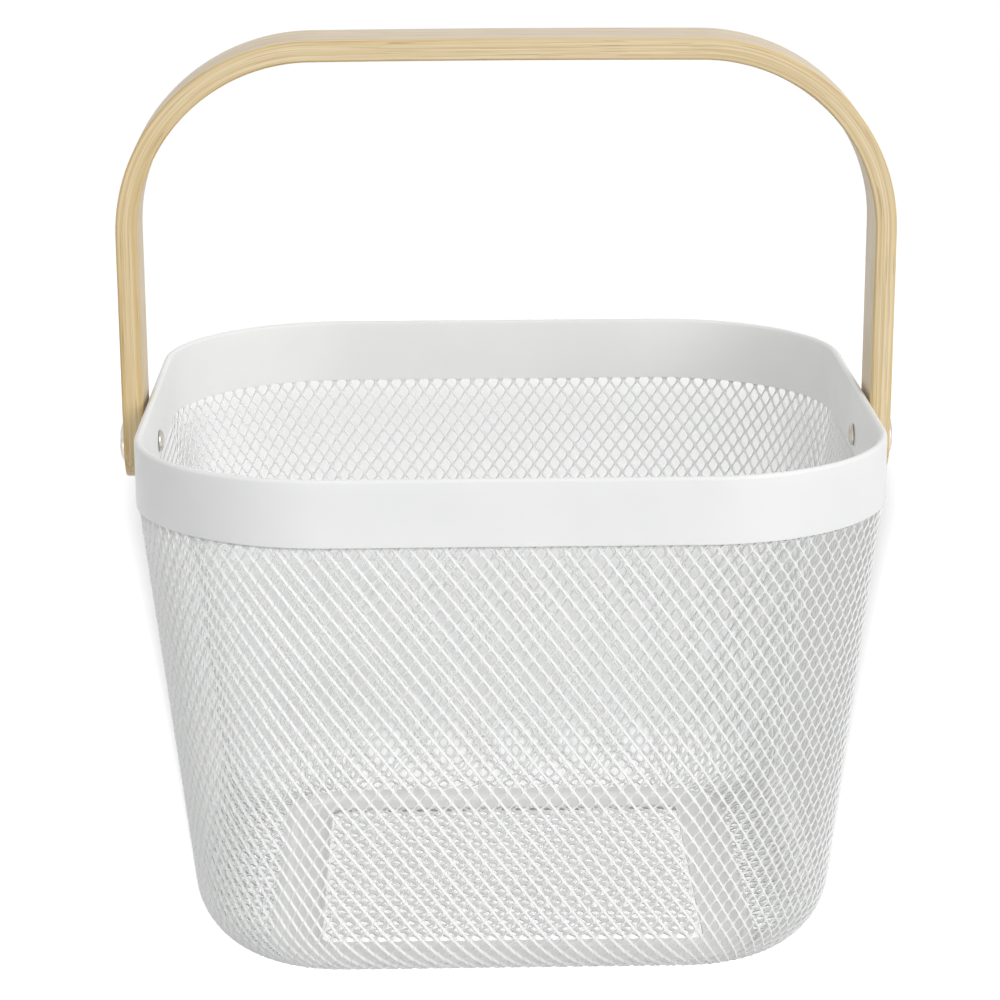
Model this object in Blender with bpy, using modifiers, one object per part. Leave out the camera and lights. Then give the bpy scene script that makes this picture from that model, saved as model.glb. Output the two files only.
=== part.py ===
"""Mesh fruit basket with a swinging bent-bamboo handle.

A square bucket of white-painted expanded metal with rounded lower edges and, round its floor, a foot
bead of plain sheet to stand on. A folded sheet-steel band hems its top edge. A bamboo strip, bent to
an arch, turns on one rivet at each side of the band, with a thin washer between wood and band. It
stands leaning a little towards the front.

Metres, +Z up. The origin is the middle of the floor, on the table. The handle spans the basket
along X, and the front of the basket is -Y. The expanded metal is drawn here as a coarse net.
"""

import math

import bmesh
import bpy
from mathutils import Matrix, Vector

# Basket body, outside sizes
basket_width = 0.250
basket_depth = 0.250
basket_height = 0.182
rim_corner_radius = 0.065
floor_width = 0.164
floor_depth = 0.169
floor_corner_radius = 0.024
lower_edge_radius = 0.0267
mesh_thickness = 0.0008

# Foot bead pressed down out of the floor, sizes at its inner edge
foot_inner_width = 0.1324
foot_inner_depth = 0.1318
foot_inner_radius = 0.008
foot_bead_width = 0.0143
foot_bead_slope = 0.0015
foot_drop = 0.0025

# Net pattern
corner_columns = 4
side_columns = 4
net_half_rows = 7
strand_width = 0.0030
net_top_margin = 0.0020
net_bottom_angle = math.radians(50.0)
floor_gap_width = 0.0220
floor_gap_length = 0.0370
floor_gap_strand = 0.0030
floor_gap_margin = 0.0030

# Rim band, one folded strip of sheet steel
band_height = 0.022
band_sheet = 0.0006
mesh_edge_depth = 0.0045

# Handle, a bent bamboo strip; the pivot is measured up from the band's lower edge, and the
# handle's top from the pivot, with the handle upright
pivot_rise = 0.005
handle_rise = 0.1428
handle_thickness = 0.0073
handle_width = 0.0246
handle_inner_radius = 0.060
handle_crown = 0.0010
crown_fade_power = 4
handle_edge_rounding = 0.0009
handle_lean = math.radians(2.6)

# Rivets and washers
rivet_shank_radius = 0.0022
rivet_head_radius = 0.0070
rivet_head_height = 0.0020
rivet_head_rim = 0.0005
rivet_tail_radius = 0.0039
rivet_tail_height = 0.0014
rivet_dimple_radius = 0.0012
rivet_dimple_depth = 0.0005
washer_radius = 0.0065
washer_thickness = 0.0008

# Clearance between pieces that touch, and how far a cutter passes the faces that it cuts
fit_gap = 0.0003
cutter_reach = 0.0020

# Smoothness of round shapes
steps_per_column = 2
fillet_rings = 3
lip_steps = 6
turned_steps = 24
end_steps = 8
bend_steps = 14
crown_steps = 6
dome_steps = 5
tail_steps = 4
smooth_angle = math.radians(35.0)
round_edge_angle = math.radians(60.0)
merge_distance = 0.00001
count_tolerance = 1e-9

# Sizes that follow from the ones above
half_width = basket_width / 2
half_depth = basket_depth / 2
band_bottom = basket_height - band_height
pivot_height = band_bottom + pivot_rise
handle_top = pivot_height + handle_rise
band_total = 2 * band_sheet + mesh_thickness + 2 * fit_gap
mesh_inset = band_sheet + fit_gap
handle_inner_half = half_width + washer_thickness + 2 * fit_gap
handle_centre_half = handle_inner_half + handle_thickness / 2
handle_outer_half = handle_inner_half + handle_thickness


def clear_scene():
    """Remove what a new file holds."""
    for old in list(bpy.data.objects):
        bpy.data.objects.remove(old, do_unlink=True)


def make_collection(name):
    """A collection linked to the scene."""
    collection = bpy.data.collections.new(name)
    bpy.context.scene.collection.children.link(collection)
    return collection


def make_material(name, colour, roughness, metallic=0.0):
    """A Principled material of one colour."""
    material = bpy.data.materials.new(name)
    material.use_nodes = True
    shader = material.node_tree.nodes["Principled BSDF"]
    shader.inputs["Base Color"].default_value = (*colour, 1.0)
    shader.inputs["Roughness"].default_value = roughness
    shader.inputs["Metallic"].default_value = metallic
    material.diffuse_color = (*colour, 1.0)
    return material


def make_object(name, bm, collection, material=None):
    """Turn a bmesh into a named object, shaded smooth up to an angle."""
    mesh = bpy.data.meshes.new(name)
    bm.to_mesh(mesh)
    bm.free()
    mesh.shade_smooth()
    mesh.set_sharp_from_angle(angle=smooth_angle)
    piece = bpy.data.objects.new(name, mesh)
    collection.objects.link(piece)
    if material:
        mesh.materials.append(material)
    return piece


def make_cutter(name, bm):
    """A guide object that only cuts others."""
    cutter = make_object(name, bm, cutters)
    cutter.hide_render = True
    cutter.display_type = "WIRE"
    return cutter


def cut(piece, cutter, name):
    """Take the cutter's space out of a piece."""
    boolean = piece.modifiers.new(name, "BOOLEAN")
    boolean.operation = "DIFFERENCE"
    boolean.solver = "EXACT"
    boolean.object = cutter


def thicken(piece, thickness, offset):
    """Give an open surface its wall."""
    wall = piece.modifiers.new("wall", "SOLIDIFY")
    wall.thickness = thickness
    wall.offset = offset
    wall.use_even_offset = True
    wall.use_quality_normals = True


def ring_points(half_x, half_y, radius, height):
    """A level rounded rectangle, counter-clockwise, with the same count of points at every size.

    Each corner and each side is divided by the net's columns, so rings of any size match up.
    """
    corner_steps = corner_columns * steps_per_column
    side_steps = side_columns * steps_per_column
    centres = ((1, -1), (1, 1), (-1, 1), (-1, -1))
    points = []
    for quarter, (sign_x, sign_y) in enumerate(centres):
        centre = Vector((sign_x * (half_x - radius), sign_y * (half_y - radius), height))
        start = (quarter - 1) * math.pi / 2
        for step in range(corner_steps):
            angle = start + math.pi / 2 * step / corner_steps
            points.append(centre + radius * Vector((math.cos(angle), math.sin(angle), 0)))
        end = start + math.pi / 2
        leave = centre + radius * Vector((math.cos(end), math.sin(end), 0))
        next_x, next_y = centres[(quarter + 1) % 4]
        next_centre = Vector((next_x * (half_x - radius), next_y * (half_y - radius), height))
        meet = next_centre + radius * Vector((math.cos(end), math.sin(end), 0))
        for step in range(side_steps):
            points.append(leave.lerp(meet, step / side_steps))
    return points


def add_ring(bm, points):
    """Put a ring of points into a bmesh."""
    return [bm.verts.new(point) for point in points]


def bridge(bm, lower, upper):
    """Quads between two rings with the same count of points."""
    count = len(lower)
    for i in range(count):
        j = (i + 1) % count
        bm.faces.new((lower[i], lower[j], upper[j], upper[i]))


def wall_lean():
    """Angle by which the walls lean outwards, the mean of sides and front."""
    rise = band_bottom - foot_drop
    lean_x = half_width - mesh_inset - floor_width / 2 - lower_edge_radius
    lean_y = half_depth - mesh_inset - floor_depth / 2 - lower_edge_radius
    return math.atan2((lean_x + lean_y) / 2, rise)


def lower_edge_angle():
    """Angle that the lower edge's arc turns through, from the level floor to the leaning wall."""
    return math.pi / 2 - wall_lean()


def wall_ring(distance):
    """Ring of the outer mesh surface, at a distance up the wall from the floor's edge."""
    end_angle = lower_edge_angle()
    arc_length = lower_edge_radius * end_angle
    angle = min(distance / lower_edge_radius, end_angle)
    spread = lower_edge_radius * math.sin(angle)
    half_x = floor_width / 2 + spread
    half_y = floor_depth / 2 + spread
    radius = floor_corner_radius + spread
    height = foot_drop + lower_edge_radius * (1 - math.cos(angle))
    if distance > arc_length:
        share = (distance - arc_length) / (wall_length() - arc_length)
        half_x += (half_width - mesh_inset - half_x) * share
        half_y += (half_depth - mesh_inset - half_y) * share
        radius += (rim_corner_radius - mesh_inset - radius) * share
        height += (band_bottom - height) * share
    return ring_points(half_x, half_y, radius, height)


def wall_length():
    """Distance up the wall from the floor's edge to the band's lower edge."""
    end_angle = lower_edge_angle()
    rise = band_bottom - foot_drop - lower_edge_radius * (1 - math.cos(end_angle))
    return lower_edge_radius * end_angle + rise / math.cos(wall_lean())


def net_levels():
    """Distances up the wall of the net's rows of crossings, bottom to top."""
    bottom = lower_edge_radius * net_bottom_angle
    top = wall_length() - net_top_margin
    return [bottom + (top - bottom) * row / net_half_rows for row in range(net_half_rows + 1)]


def add_net(bm, bottom_ring, top_ring):
    """Diamond gaps between two full rings, each row shifted by half a column.

    Every gap starts as a face. The inset leaves strands round it, and then the face goes.
    """
    columns = 4 * (corner_columns + side_columns)
    half_column = steps_per_column // 2
    count = len(bottom_ring)
    levels = net_levels()
    rows = [bottom_ring]
    for row in range(1, net_half_rows):
        ring = wall_ring(levels[row])
        shift = (row % 2) * half_column
        crossings = {}
        for column in range(columns):
            place = (column * steps_per_column + shift) % count
            crossings[place] = bm.verts.new(ring[place])
        rows.append(crossings)
    rows.append(top_ring)

    gaps = []
    for row in range(net_half_rows + 1):
        shift = (row % 2) * half_column
        for column in range(columns):
            left = (column * steps_per_column + shift) % count
            middle = (left + half_column) % count
            right = (left + steps_per_column) % count
            if row == 0:
                corners = [bottom_ring[place] for place in (left, middle, right)]
                corners.append(rows[1][middle])
            elif row == net_half_rows:
                corners = [top_ring[place] for place in (right, middle, left)]
                corners.append(rows[row - 1][middle])
            else:
                corners = [rows[row - 1][middle], rows[row][right], rows[row + 1][middle], rows[row][left]]
            gaps.append(bm.faces.new(corners))
    bm.normal_update()
    bmesh.ops.inset_individual(bm, faces=gaps, thickness=strand_width / 2, use_even_offset=True)
    bmesh.ops.delete(bm, geom=gaps, context="FACES")


def add_floor(bm, edge_ring):
    """The floor inside the lower edge, with the foot bead pressed out of it."""
    inner_x = foot_inner_width / 2
    inner_y = foot_inner_depth / 2
    rings = [edge_ring]
    for outward, drop in (
        (foot_bead_width, 0.0),
        (foot_bead_width - foot_bead_slope, foot_drop),
        (foot_bead_slope, foot_drop),
        (0.0, 0.0),
    ):
        points = ring_points(
            inner_x + outward, inner_y + outward, foot_inner_radius + outward, foot_drop - drop
        )
        rings.append(add_ring(bm, points))
    for outer, inner in zip(rings, rings[1:]):
        bridge(bm, inner, outer)
    bm.faces.new(reversed(rings[-1]))


def build_mesh_body():
    """Expanded-metal bucket: floor, lower edge, net walls and the plain edge inside the band."""
    bm = bmesh.new()
    levels = net_levels()
    lower = [wall_ring(levels[0] * step / fillet_rings) for step in range(fillet_rings + 1)]
    lower_rings = [add_ring(bm, points) for points in lower]
    for below, above in zip(lower_rings, lower_rings[1:]):
        bridge(bm, below, above)
    add_floor(bm, lower_rings[0])

    net_top = add_ring(bm, wall_ring(levels[-1]))
    band_foot = add_ring(bm, wall_ring(wall_length()))
    edge_points = ring_points(
        half_width - mesh_inset,
        half_depth - mesh_inset,
        rim_corner_radius - mesh_inset,
        basket_height - mesh_edge_depth,
    )
    top_edge = add_ring(bm, edge_points)
    bridge(bm, net_top, band_foot)
    bridge(bm, band_foot, top_edge)
    add_net(bm, lower_rings[-1], net_top)
    bmesh.ops.remove_doubles(bm, verts=bm.verts, dist=merge_distance)

    body = make_object("mesh_body", bm, basket, white_paint)
    thicken(body, mesh_thickness, -1.0)
    cut(body, build_floor_gaps(), "floor gaps")
    cut(body, rivet_bore, "rivet holes")
    return body


def build_floor_gaps():
    """Diamond prisms in staggered rows, as many as the floor inside the foot bead has room for."""
    bm = bmesh.new()
    pitch_x = floor_gap_width + floor_gap_strand
    pitch_y = (floor_gap_length + floor_gap_strand) / 2
    reach_x = foot_inner_width / 2 - floor_gap_margin
    reach_y = foot_inner_depth / 2 - floor_gap_margin
    rows = int((reach_y - floor_gap_length / 2) / pitch_y + count_tolerance)
    for row in range(-rows, rows + 1):
        shift = pitch_x / 2 if row % 2 == 0 else 0.0
        columns = int((reach_x - floor_gap_width / 2 - shift) / pitch_x + count_tolerance)
        places = {shift + pitch_x * column for column in range(columns + 1)}
        places |= {-place for place in places}
        for place in sorted(places):
            grow = Matrix.Diagonal((floor_gap_width / 2, floor_gap_length / 2, 1.0, 1.0))
            move = Matrix.Translation((place, row * pitch_y, foot_drop))
            bmesh.ops.create_cone(
                bm,
                cap_ends=True,
                segments=4,
                radius1=1.0,
                radius2=1.0,
                depth=2 * (mesh_thickness + cutter_reach),
                matrix=move @ grow,
            )
    return make_cutter("floor_gap_cutter", bm)


def build_rim_band():
    """Folded band: outer wall, rolled lip and inner wall, from the middle of its sheet."""
    bm = bmesh.new()
    outer = band_sheet / 2
    inner = band_total - band_sheet / 2
    lip_radius = (inner - outer) / 2
    lip_height = basket_height - band_sheet / 2 - lip_radius
    profile = [(outer, band_bottom)]
    for step in range(lip_steps + 1):
        angle = math.pi * step / lip_steps
        inset = outer + lip_radius * (1 - math.cos(angle))
        profile.append((inset, lip_height + lip_radius * math.sin(angle)))
    profile.append((inner, band_bottom))
    rings = []
    for inset, height in profile:
        points = ring_points(half_width - inset, half_depth - inset, rim_corner_radius - inset, height)
        rings.append(add_ring(bm, points))
    for below, above in zip(rings, rings[1:]):
        bridge(bm, below, above)
    band = make_object("rim_band", bm, basket, white_paint)
    thicken(band, band_sheet, 0.0)
    cut(band, rivet_bore, "rivet holes")
    return band


def handle_rows():
    """Places along half the strip's centre line, with the strip's half width there.

    The rows run from the rounded lower end, up the leg and round the bend to the middle of the top.
    """
    end_radius = handle_width / 2
    bend_radius = handle_inner_radius + handle_thickness / 2
    top = handle_top - handle_thickness / 2
    lower_end = pivot_height - end_radius
    rows = []
    for step in range(1, end_steps + 1):
        angle = math.pi / 2 * step / end_steps
        rise = end_radius * (1 - math.cos(angle))
        rows.append((handle_centre_half, lower_end + rise, end_radius * math.sin(angle)))
    bend_x = handle_centre_half - bend_radius
    bend_z = top - bend_radius
    for step in range(bend_steps + 1):
        angle = math.pi / 2 * step / bend_steps
        x = bend_x + bend_radius * math.cos(angle)
        z = bend_z + bend_radius * math.sin(angle)
        rows.append((x, z, end_radius))
    for step in range(1, crown_steps + 1):
        rows.append((bend_x * (1 - step / crown_steps), top, end_radius))
    crowned = []
    for x, z, half in rows:
        lift = max(z - pivot_height, 0.0) / (top - pivot_height)
        sag = handle_crown * (x / handle_centre_half) ** 2 * lift**crown_fade_power
        crowned.append((x, z - sag, half))
    return crowned


def build_handle():
    """Bent strip with rounded ends, mirrored at the middle of its top."""
    bm = bmesh.new()
    rows = handle_rows()
    tip = bm.verts.new((handle_centre_half, 0.0, pivot_height - handle_width / 2))
    pairs = [(bm.verts.new((x, -half, z)), bm.verts.new((x, half, z))) for x, z, half in rows]
    bm.faces.new((tip, pairs[0][1], pairs[0][0]))
    for (front_low, back_low), (front_up, back_up) in zip(pairs, pairs[1:]):
        bm.faces.new((front_low, back_low, back_up, front_up))
    bmesh.ops.recalc_face_normals(bm, faces=bm.faces)
    strip = make_object("handle", bm, basket, bamboo)
    mirror = strip.modifiers.new("other half", "MIRROR")
    mirror.use_axis = (True, False, False)
    mirror.use_clip = True
    mirror.merge_threshold = merge_distance
    thicken(strip, handle_thickness, 0.0)
    edges = strip.modifiers.new("rounded edges", "BEVEL")
    edges.width = handle_edge_rounding
    edges.segments = 2
    edges.limit_method = "ANGLE"
    edges.angle_limit = round_edge_angle
    cut(strip, rivet_bore, "rivet holes")
    strip.parent = handle_pivot
    strip.matrix_parent_inverse = handle_pivot.matrix_world.inverted()
    return strip


def build_rivet_bore():
    """One long rod through both sides, which makes every rivet hole."""
    bm = bmesh.new()
    turn = Matrix.Rotation(math.pi / 2, 4, "Y")
    move = Matrix.Translation((0, 0, pivot_height))
    bmesh.ops.create_cone(
        bm,
        cap_ends=True,
        segments=turned_steps,
        radius1=rivet_shank_radius + fit_gap,
        radius2=rivet_shank_radius + fit_gap,
        depth=2 * (handle_outer_half + rivet_head_height + cutter_reach),
        matrix=move @ turn,
    )
    return make_cutter("rivet_bore_cutter", bm)


def rivet_profile():
    """Half outline of a rivet, head first; its middle line is the outer face of the handle.

    The head is a low dome on a thin rim, and the tail a small rounded button with a dimple.
    """
    head_base = fit_gap
    dome_height = rivet_head_height - rivet_head_rim
    points = []
    for step in range(dome_steps + 1):
        angle = math.pi / 2 * step / dome_steps
        rise = rivet_head_rim + dome_height * math.cos(angle)
        points.append((rivet_head_radius * math.sin(angle), head_base + rise))
    points.append((rivet_head_radius, head_base))
    points.append((rivet_shank_radius, head_base))
    tail_top = half_width - band_total - fit_gap - handle_outer_half
    points.append((rivet_shank_radius, tail_top))
    points.append((rivet_tail_radius, tail_top))
    for step in range(1, tail_steps + 1):
        angle = math.pi / 2 * step / tail_steps
        run = (rivet_tail_radius - rivet_dimple_radius) * math.cos(angle)
        drop = rivet_tail_height * math.sin(angle)
        points.append((rivet_dimple_radius + run, tail_top - drop))
    points.append((0.0, tail_top - rivet_tail_height + rivet_dimple_depth))
    return points


def turn_profile(name, profile, material):
    """Object turned about its own Z axis from a half outline."""
    bm = bmesh.new()
    verts = [bm.verts.new((radius, 0.0, height)) for radius, height in profile]
    for first, second in zip(verts, verts[1:]):
        bm.edges.new((first, second))
    piece = make_object(name, bm, basket, material)
    turned = piece.modifiers.new("turned", "SCREW")
    turned.axis = "Z"
    turned.angle = 2 * math.pi
    turned.steps = turned_steps
    turned.render_steps = turned_steps
    turned.use_merge_vertices = True
    turned.merge_threshold = merge_distance
    turned.use_smooth_shade = True
    return piece


def build_rivet(name, side):
    """A rivet through handle, washer and band; side is 1 at +X and -1 at -X."""
    rivet = turn_profile(name, rivet_profile(), steel)
    rivet.location = (side * handle_outer_half, 0, pivot_height)
    rivet.rotation_euler = (0, side * math.pi / 2, 0)
    return rivet


def build_washer(name, side):
    """A thin ring between the handle and the band."""
    bm = bmesh.new()
    turn = Matrix.Rotation(math.pi / 2, 4, "Y")
    bmesh.ops.create_cone(
        bm,
        cap_ends=True,
        segments=turned_steps,
        radius1=washer_radius,
        radius2=washer_radius,
        depth=washer_thickness,
        matrix=turn,
    )
    washer = make_object(name, bm, basket, washer_plastic)
    washer.location = (side * (half_width + fit_gap + washer_thickness / 2), 0, pivot_height)
    cut(washer, rivet_bore, "rivet hole")
    return washer


clear_scene()
basket = make_collection("mesh_fruit_basket")
cutters = make_collection("cutters")

white_paint = make_material("white_powder_coat", (0.86, 0.86, 0.85), 0.45)
bamboo = make_material("bamboo", (0.72, 0.55, 0.30), 0.50)
steel = make_material("rivet_steel", (0.72, 0.71, 0.68), 0.25, 1.0)
washer_plastic = make_material("washer_plastic", (0.80, 0.80, 0.78), 0.55)

handle_pivot = bpy.data.objects.new("handle_pivot", None)
handle_pivot.location = (0, 0, pivot_height)
basket.objects.link(handle_pivot)
bpy.context.view_layer.update()

rivet_bore = build_rivet_bore()
build_mesh_body()
build_rim_band()
build_handle()
handle_pivot.rotation_euler.x = handle_lean
for side_name, side in (("left", -1), ("right", 1)):
    build_rivet("rivet_" + side_name, side)
    build_washer("washer_" + side_name, side)
bpy.context.view_layer.update()
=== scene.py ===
import math

import bpy
import numpy as np
from mathutils import Matrix, Vector


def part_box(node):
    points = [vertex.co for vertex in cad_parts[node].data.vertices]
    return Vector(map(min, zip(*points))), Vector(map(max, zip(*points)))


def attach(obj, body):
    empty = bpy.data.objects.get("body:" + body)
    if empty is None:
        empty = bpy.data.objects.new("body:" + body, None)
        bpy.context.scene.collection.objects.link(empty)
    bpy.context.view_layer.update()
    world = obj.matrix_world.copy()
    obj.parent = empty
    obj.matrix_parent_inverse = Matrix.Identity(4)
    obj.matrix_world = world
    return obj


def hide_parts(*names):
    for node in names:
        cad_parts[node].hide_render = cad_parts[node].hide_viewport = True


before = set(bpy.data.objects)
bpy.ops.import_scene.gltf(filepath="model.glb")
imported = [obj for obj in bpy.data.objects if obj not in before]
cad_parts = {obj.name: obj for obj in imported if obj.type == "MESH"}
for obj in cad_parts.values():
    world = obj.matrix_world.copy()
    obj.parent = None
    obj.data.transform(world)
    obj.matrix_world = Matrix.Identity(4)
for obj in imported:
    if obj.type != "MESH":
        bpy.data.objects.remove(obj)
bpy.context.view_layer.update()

# Mesh fruit basket with a bent bamboo handle, dressed for the render.
# Sizes are in millimetres here and become metres when a mesh is filled.
# The front is -Y, and the handle spans along X.

mm = 0.001
bandLow, bandHigh = [[value / mm for value in corner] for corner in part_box("rim_band")]
headLow, headHigh = [[value / mm for value in corner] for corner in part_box("rivet_right")]
washerLow, washerHigh = [[value / mm for value in corner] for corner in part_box("washer_right")]
pivotHeight = (headLow[2] + headHigh[2]) / 2
scene = bpy.context.scene


# Mesh helpers

def fillMesh(name, points, quads, triangles=()):
    # Points in millimetres and faces by index go into a new mesh in one pass.
    mesh = bpy.data.meshes.new(name)
    quads = np.asarray(quads, dtype=np.int32).reshape(-1, 4)
    triangles = np.asarray(triangles, dtype=np.int32).reshape(-1, 3)
    corners = np.concatenate([quads.ravel(), triangles.ravel()])
    starts = np.concatenate([np.arange(len(quads)) * 4, quads.size + np.arange(len(triangles)) * 3])
    mesh.vertices.add(len(points))
    mesh.vertices.foreach_set("co", (np.asarray(points) * mm).astype(np.float32).ravel())
    mesh.loops.add(len(corners))
    mesh.loops.foreach_set("vertex_index", corners)
    mesh.polygons.add(len(starts))
    mesh.polygons.foreach_set("loop_start", starts.astype(np.int32))
    mesh.update(calc_edges=True)
    mesh.validate()
    return mesh


def addPiece(mesh, material, body, slotName, *nodes, sharpAngle=38):
    # An object at the origin that moves with a body and stands for CAD nodes.
    mesh.shade_smooth()
    mesh.set_sharp_from_angle(angle=math.radians(sharpAngle))
    mesh.materials.append(material)
    piece = bpy.data.objects.new(mesh.name, mesh)
    scene.collection.objects.link(piece)
    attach(piece, body)
    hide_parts(*nodes)
    return piece


def gridQuads(rows, columns):
    # Quads of a grid whose rows follow each other and whose columns close into a ring.
    row = np.arange(rows - 1)[:, None] * columns
    nextRow = row + columns
    column = np.arange(columns)[None, :]
    after = (column + 1) % columns
    return np.stack([row + column, row + after, nextRow + after, nextRow + column], axis=-1).reshape(-1, 4)


def unit(vectors):
    # Vectors divided by their lengths.
    return vectors / np.linalg.norm(vectors, axis=-1, keepdims=True)


# Bucket outline: what the wall, the foot strip and the rim band share

bucket = {
    "sheetInset": 0.9,        # outer mesh surface inside the band's outer face
    "rimRadius": 65.0,        # corner radius at the band's outer face
    "floorHalfX": 82.0,       # where the floor meets the rounded lower edge
    "floorHalfY": 84.5,
    "floorRadius": 24.0,
    "edgeRadius": 26.7,       # rounding between floor and wall
    "floorHeight": 2.5,       # floor above the table, which the foot strip bridges
    "columns": 164,           # mesh openings all the way round
}
# worked out from these: the outline at the band, how its columns divide, and the wall's section
rimHalf = bandHigh[0]
bandBottom = bandLow[2]
bandTop = bandHigh[2]
topHalf = rimHalf - bucket["sheetInset"]
topRadius = bucket["rimRadius"] - bucket["sheetInset"]
topSide = 2 * (topHalf - topRadius)
topCorner = topRadius * math.pi / 2
sideColumns = bucket["columns"] * topSide / (4 * (topSide + topCorner))
cornerColumns = bucket["columns"] / 4 - sideColumns
columnWidth = (topSide + topCorner) * 4 / bucket["columns"]
leanX = topHalf - bucket["floorHalfX"] - bucket["edgeRadius"]
leanY = topHalf - bucket["floorHalfY"] - bucket["edgeRadius"]
wallLean = math.atan2((leanX + leanY) / 2, bandBottom - bucket["floorHeight"])
edgeAngle = math.pi / 2 - wallLean
edgeArc = bucket["edgeRadius"] * edgeAngle
edgeRise = bucket["edgeRadius"] * (1 - math.cos(edgeAngle))
wallLength = edgeArc + (bandBottom - bucket["floorHeight"] - edgeRise) / math.cos(wallLean)


def ringPoint(u, halfX, halfY, radius, height):
    # Point of a level rounded rectangle. u counts mesh columns from the middle of the front, to the
    # right seen from outside: a straight side, then a quarter circle, four times over.
    turn = (u + sideColumns / 2) % bucket["columns"]
    quarter = np.floor(turn / (bucket["columns"] / 4))
    step = turn - quarter * bucket["columns"] / 4
    odd = quarter % 2 == 1
    halfAlong = np.where(odd, halfY, halfX)
    halfOut = np.where(odd, halfX, halfY)
    bend = np.clip((step - sideColumns) / cornerColumns, 0, 1) * math.pi / 2
    straight = (halfAlong - radius) * np.clip(2 * step / sideColumns - 1, -1, 1)
    along = straight + radius * np.sin(bend)
    out = halfOut - radius + radius * np.cos(bend)
    heading = quarter * math.pi / 2
    x = along * np.cos(heading) + out * np.sin(heading)
    y = along * np.sin(heading) - out * np.cos(heading)
    return np.stack([x, y, np.broadcast_to(height, x.shape)], axis=-1)


def wallSection(s):
    # Half sizes, corner radius and height of the outer mesh surface at a distance s up the wall from
    # the floor: an arc, then a lean outwards to the band, then straight up inside it.
    angle = np.clip(s / bucket["edgeRadius"], 0, edgeAngle)
    outwards = bucket["edgeRadius"] * np.sin(angle) + np.minimum(s, 0)
    rise = bucket["edgeRadius"] * (1 - np.cos(angle))
    share = np.clip((s - edgeArc) / (wallLength - edgeArc), 0, 1)
    halfX = bucket["floorHalfX"] + outwards
    halfY = bucket["floorHalfY"] + outwards
    radius = bucket["floorRadius"] + outwards
    height = bucket["floorHeight"] + rise
    halfX = halfX + (topHalf - halfX) * share
    halfY = halfY + (topHalf - halfY) * share
    radius = radius + (topRadius - radius) * share
    height = height + (bandBottom - height) * share + np.maximum(s - wallLength, 0)
    return halfX, halfY, radius, height


def wallPoint(u, s):
    return ringPoint(u, *wallSection(s))


def wallFrame(u, s):
    # Point, direction along the ring, outward normal and width of one column, by small differences.
    du = 0.02
    ds = 0.1
    across = (wallPoint(u + du, s) - wallPoint(u - du, s)) / (2 * du)
    up = wallPoint(u, s + ds) - wallPoint(u, s - ds)
    return wallPoint(u, s), unit(across), unit(np.cross(across, up)), np.linalg.norm(across, axis=-1)


# Expanded metal

weave = {
    "rowPitch": 7.225,        # one opening to the next up the wall
    "firstRow": 2.45,         # from the band's lower edge to the first whole opening's middle
    "rows": 24,
    "strandHalf": 0.59,       # half the joint between two openings side by side
    "tipHalf": 0.86,          # half the joint between two openings one above the other
    "roundness": 1.24,        # 1 gives straight edges, 2 an ellipse
    "steps": 3,               # contour points along one edge of an opening
    "tilt": math.radians(40),  # slats turn their faces to the right
    "louvre": 0.45,           # how far an opening's right edge stands out, and its left edge in
    "climb": 0.06,            # and its upper edge, as a share of that: the mean round the basket
    "climbSwing": 0.46,       # how much more that is at the front left corner, where it is most
    "thickness": 0.42,
    "base": -0.36,            # the strands' outer skin against the outer mesh surface
    "bandFlat": 0.6,          # how much flatter the slats lie inside the band
    "bandFade": 0.8,          # half the height over which that comes in
    "footFlat": 0.65,         # how much flatter they lie at the foot strip
    "footFrom": 2.0,          # distances up the wall between which that goes
    "footTo": 12.0,
}


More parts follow.
